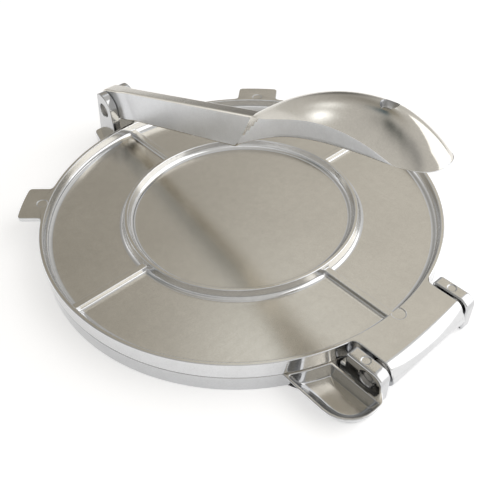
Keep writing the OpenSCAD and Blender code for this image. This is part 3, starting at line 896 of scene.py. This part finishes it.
# Soft patches of the room: azimuth, elevation and spread in degrees, and the light that each adds
PATCHES = (
    (168, 38, 24, (-0.30, -0.30, -0.30)),
    (116, 46, 18, (0.08, 0.08, 0.08)),
    (144, 10, 15, (-0.5, -0.49, -0.47)),
    (205, 64, 19, (-0.3, -0.31, -0.33)),
    (43, 22, 23, (0.05, 0.06, 0.07)),
    (76, 28, 17, (0.3, 0.31, 0.32)),
    (203, 17, 7, (0.7, 0.72, 0.74)),
    (213, 6, 5, (1.6, 1.65, 1.7)),
    (137, 55, 6, (0.6, 0.65, 0.7)),
    (216, 47, 9, (-0.42, -0.36, -0.3)),
    (245, 33, 14, (-0.5, -0.48, -0.46)),
    (280, 38, 18, (-0.3, -0.29, -0.27)),
)
FLOOR_GLOW = 0.4
# In metres: half the floor's side, and the lamp's place
FLOOR_REACH = 3
LAMP_AT = (0.62, 0.64, 0.55)


def room_light():
    """The world: an even room with soft patches. A patch adds its light times
    exp((cos(angle from its middle) - 1) / (1 - cos(spread))), which is a bell curve."""
    world = bpy.data.worlds.new("room")
    world.use_nodes = True
    nodes, links = world.node_tree.nodes, world.node_tree.links
    where = nodes.new("ShaderNodeTexCoord")
    total = None
    for azimuth, elevation, spread, light in PATCHES:
        a, e = radians(azimuth), radians(elevation)
        facing = nodes.new("ShaderNodeVectorMath")
        facing.operation = "DOT_PRODUCT"
        facing.inputs[1].default_value = (cos(a) * cos(e), sin(a) * cos(e), sin(e))
        links.new(where.outputs["Generated"], facing.inputs[0])
        fall = nodes.new("ShaderNodeMath")
        fall.operation = "MULTIPLY_ADD"
        steep = 1 / (1 - cos(radians(spread)))
        fall.inputs[1].default_value = steep
        fall.inputs[2].default_value = -steep
        links.new(facing.outputs["Value"], fall.inputs[0])
        bell = nodes.new("ShaderNodeMath")
        bell.operation = "EXPONENT"
        links.new(fall.outputs[0], bell.inputs[0])
        patch = nodes.new("ShaderNodeVectorMath")
        patch.operation = "MULTIPLY_ADD"
        patch.inputs[1].default_value = light
        links.new(bell.outputs[0], patch.inputs[0])
        if total is None:
            patch.inputs[2].default_value = ROOM
        else:
            links.new(total, patch.inputs[2])
        total = patch.outputs[0]
    links.new(total, nodes["Background"].inputs["Color"])
    return world


def floor_paint(tint):
    """Pale floor paint. Seen directly, in metal or through something it also glows, so that it reads
    white and still holds the press's shadow."""
    paint = bpy.data.materials.new("floor_paint")
    paint.use_nodes = True
    nodes, links = paint.node_tree.nodes, paint.node_tree.links
    shader = nodes["Principled BSDF"]
    shader.inputs["Base Color"].default_value = (*tint, 1)
    shader.inputs["Roughness"].default_value = 0.8
    shader.inputs["Emission Color"].default_value = (1, 1, 1, 1)
    seen = nodes.new("ShaderNodeLightPath")
    any_of = seen.outputs["Is Camera Ray"]
    for ray in ("Is Glossy Ray", "Is Transmission Ray"):
        larger = nodes.new("ShaderNodeMath")
        larger.operation = "MAXIMUM"
        links.new(any_of, larger.inputs[0])
        links.new(seen.outputs[ray], larger.inputs[1])
        any_of = larger.outputs[0]
    glow = nodes.new("ShaderNodeMath")
    glow.operation = "MULTIPLY"
    glow.inputs[1].default_value = FLOOR_GLOW
    links.new(any_of, glow.inputs[0])
    links.new(glow.outputs[0], shader.inputs["Emission Strength"])
    return paint


class PRESS_OT_stage(bpy.types.Operator):
    """Set up the white floor, the soft light and the camera"""
    bl_idname = "press.stage"
    bl_label = "Stage"

    def execute(self, context):
        scene = context.scene
        look = scene.press_stage
        scene.view_settings.view_transform = "Standard"
        camera_data = bpy.data.cameras.new("camera")
        camera_data.sensor_width = 36
        camera_data.lens = look.lens
        camera_data.clip_start = 0.01
        camera = bpy.data.objects.new("camera", camera_data)
        scene.collection.objects.link(camera)
        turn = Matrix((CAMERA_RIGHT, CAMERA_UP, CAMERA_BACK)).transposed()
        camera.matrix_world = Matrix.Translation(Vector(CAMERA_AT) * MM) @ turn.to_4x4()
        scene.camera = camera

        corners = [(x * FLOOR_REACH, y * FLOOR_REACH, 0) for x, y in ((-1, -1), (1, -1), (1, 1), (-1, 1))]
        floor_mesh = bpy.data.meshes.new("floor")
        floor_mesh.from_pydata(corners, [], [(0, 1, 2, 3)])
        floor = bpy.data.objects.new("floor", floor_mesh)
        scene.collection.objects.link(floor)
        floor_mesh.materials.append(floor_paint(look.floor))

        scene.world = room_light()
        lamp = bpy.data.lights.new("window", "AREA")
        lamp.energy = look.lamp_watts
        lamp.size = look.lamp_size
        key = bpy.data.objects.new("window", lamp)
        scene.collection.objects.link(key)
        key.location = LAMP_AT
        key.rotation_euler = (-key.location).to_track_quat("-Z", "Y").to_euler()
        return {"FINISHED"}


class PRESS_PT_sidebar(bpy.types.Panel):
    """The press's builders and properties"""
    bl_label = "Tortilla press"
    bl_idname = "PRESS_PT_sidebar"
    bl_space_type = "VIEW_3D"
    bl_region_type = "UI"
    bl_category = "Press"

    def draw(self, context):
        column = self.layout.column()
        for key, kind in GROUPS.items():
            for name in kind.__annotations__:
                column.prop(getattr(context.scene, key), name)
        for step in STEPS:
            column.operator(step.bl_idname)


STEPS = (PRESS_OT_stage, PRESS_OT_top_plate, PRESS_OT_base, PRESS_OT_lever, PRESS_OT_pins)
GROUPS = {"press_sizes": PressSizes, "press_finish": PressFinish, "press_stage": PressStage}
CLASSES = (*GROUPS.values(), *STEPS, PRESS_PT_sidebar)


def register():
    """Registers the classes and hangs the properties on the scene."""
    for item in CLASSES:
        bpy.utils.register_class(item)
    for name, group in GROUPS.items():
        setattr(bpy.types.Scene, name, bpy.props.PointerProperty(type=group))


def unregister():
    """Takes the properties and classes away again."""
    for name in GROUPS:
        delattr(bpy.types.Scene, name)
    for item in reversed(CLASSES):
        bpy.utils.unregister_class(item)


def main():
    """Builds stage and press."""
    register()
    for step in STEPS:
        group, action = step.bl_idname.split(".")
        getattr(getattr(bpy.ops, group), action)()


if __name__ == "__main__":
    main()
